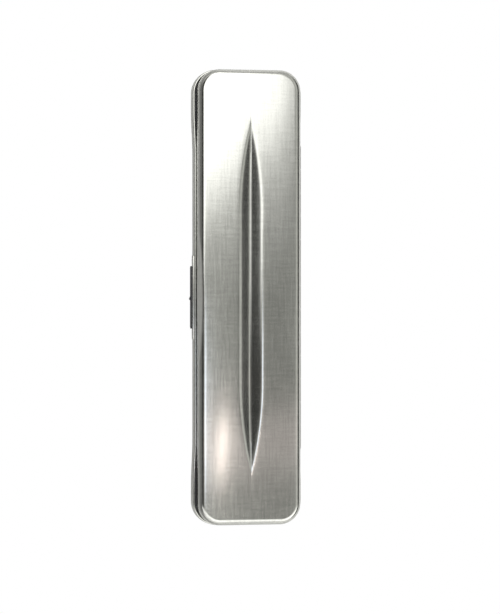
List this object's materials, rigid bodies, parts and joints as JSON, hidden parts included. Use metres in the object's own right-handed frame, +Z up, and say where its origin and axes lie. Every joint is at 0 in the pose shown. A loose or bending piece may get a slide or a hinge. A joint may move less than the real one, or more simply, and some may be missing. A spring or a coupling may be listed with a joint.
{
  "type": "eyeglasses case",
  "caption": "Slim metal clamshell case with a knuckled back hinge, a front release bar, a grooved lid and inlays for folded glasses.",
  "frame": {"origin": "centre of the base's flat underside", "axes": "+X along the case, -Y towards the front with the release bar, +Z up from the base to the lid"},
  "size_m": [0.1604, 0.0398, 0.017],
  "materials": {
    "satin_aluminium": "satin, finely brushed lengthwise",
    "hinge_steel": "satin",
    "spring_steel": "satin",
    "dark_bar": "matte",
    "inlay_flock": "flocked"
  },
  "bodies": {
    "base": {"base_shell": "satin_aluminium", "base_inlay": "inlay_flock", "hinge_leaf_base": "hinge_steel", "hinge_pin": "hinge_steel", "base_leaf_fasteners": "hinge_steel", "bar_frame": "satin_aluminium", "catch_guide": "spring_steel", "guide_fasteners": "hinge_steel", "return_spring_left": "spring_steel", "return_spring_right": "spring_steel"},
    "lid": {"lid_shell": "satin_aluminium", "lid_inlay": "inlay_flock", "hinge_leaf_lid": "hinge_steel", "lid_leaf_fasteners": "hinge_steel", "lid_keeper": "spring_steel", "keeper_fasteners": "hinge_steel"},
    "release": {"release_bar": "dark_bar", "release_studs": "spring_steel", "catch_hook": "spring_steel", "stud_clips": "spring_steel"}
  },
  "joints": [
    {"name": "lid_hinge", "type": "hinge", "parent": "base", "child": "lid", "pos_m": [0, 0.01855, 0.0097], "axis": [-1, 0, 0], "range_deg": [0, 110]},
    {"name": "release_press", "type": "slide", "parent": "base", "child": "release", "axis": [0, 1, 0], "range_m": [0, 0.00055], "stiffness_N_per_m": 2000, "springref_m": -0.0004, "deforming": ["return_spring_left", "return_spring_right"]}
  ]
}
